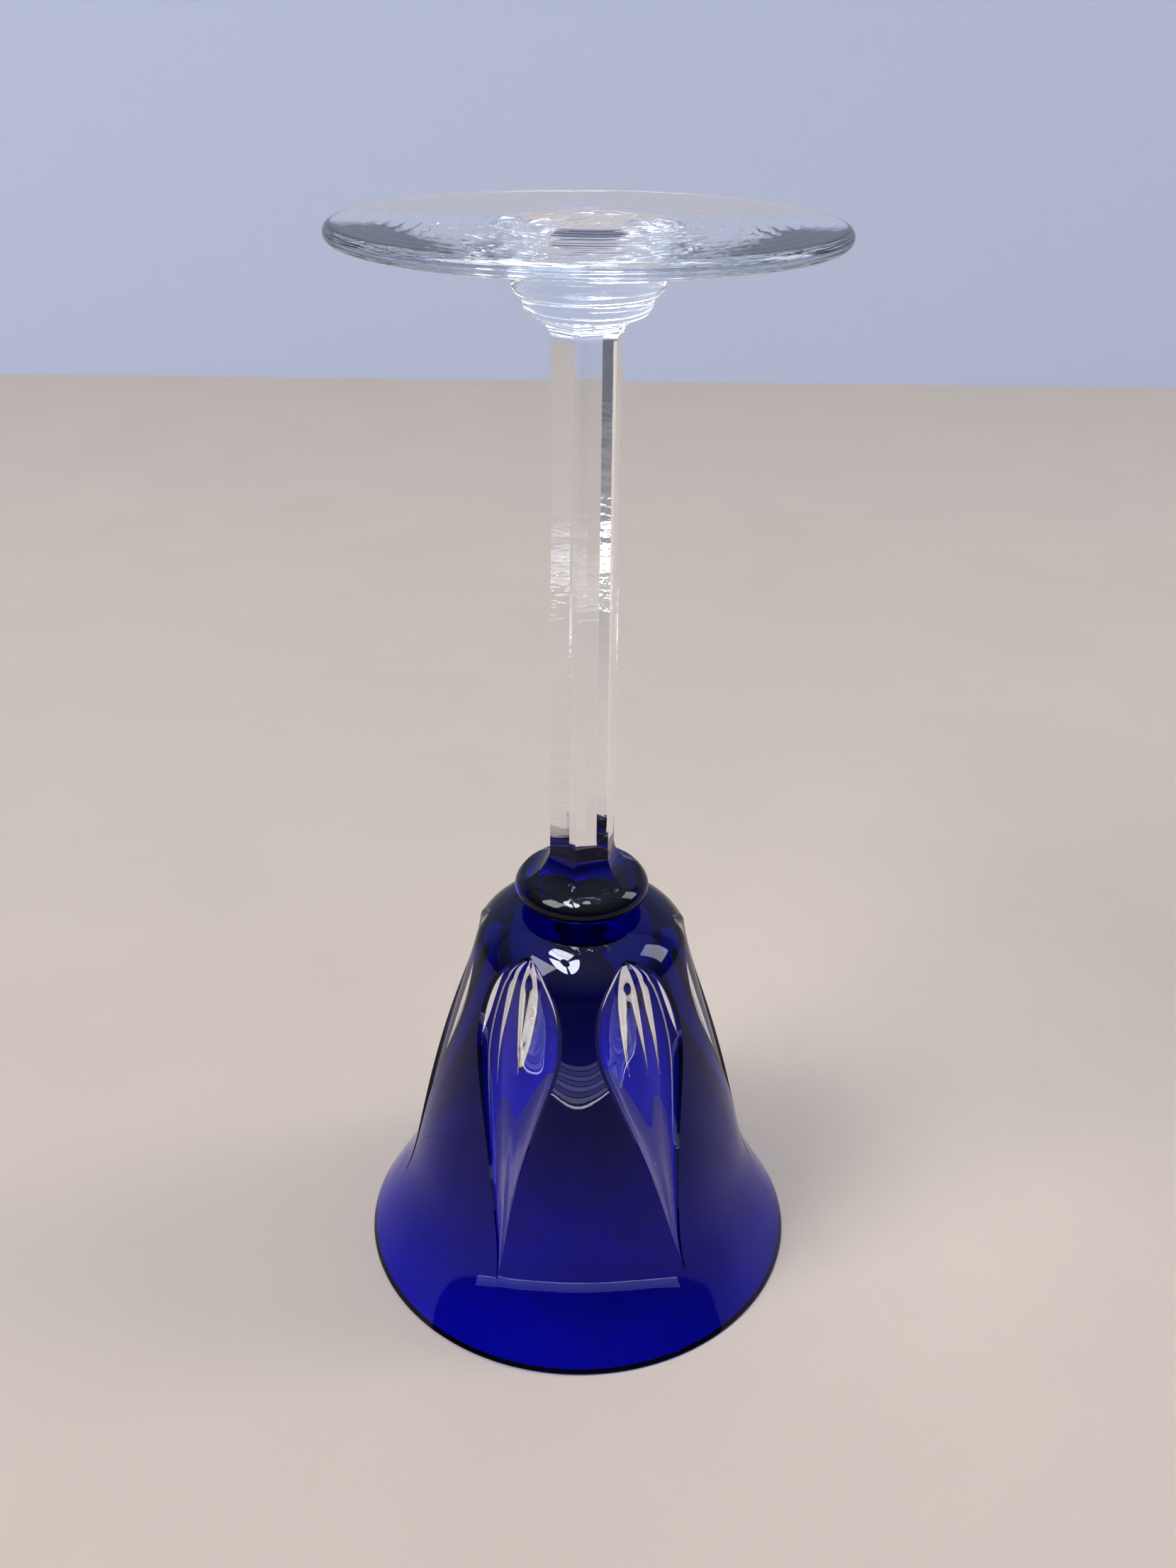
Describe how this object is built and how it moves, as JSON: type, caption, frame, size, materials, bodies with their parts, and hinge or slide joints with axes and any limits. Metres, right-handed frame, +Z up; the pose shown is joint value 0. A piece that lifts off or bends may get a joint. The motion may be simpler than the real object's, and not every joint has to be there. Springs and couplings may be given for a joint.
{
  "type": "stemmed wine glass",
  "caption": "Stemmed hock glass in cased crystal, its flared cobalt bowl cut to clear in petals, stood mouth-down on its rim like a bell with the foot uppermost.",
  "frame": {"origin": "centre of the rim's plane, which is what the glass stands on mouth-down", "axes": "+Z up along the glass's axis, from the rim to the foot; the camera side is -Y, midway between two petals"},
  "size_m": [0.082, 0.082, 0.189],
  "materials": {
    "foot_glass": "clear crystal, fire-polished",
    "collar_glass": "clear crystal, fire-polished with turned lines",
    "stem_glass": "clear crystal, cut and polished flats",
    "knop_glass": "cobalt glass, polished",
    "casing_glass": "cobalt casing over clear crystal, polished",
    "lining_glass": "clear crystal, cut and polished in the petals"
  },
  "bodies": {
    "root": {"foot": "foot_glass", "foot_collar": "collar_glass", "stem": "stem_glass", "knop": "knop_glass", "bowl_casing": "casing_glass", "bowl_lining": "lining_glass"}
  },
  "joints": []
}
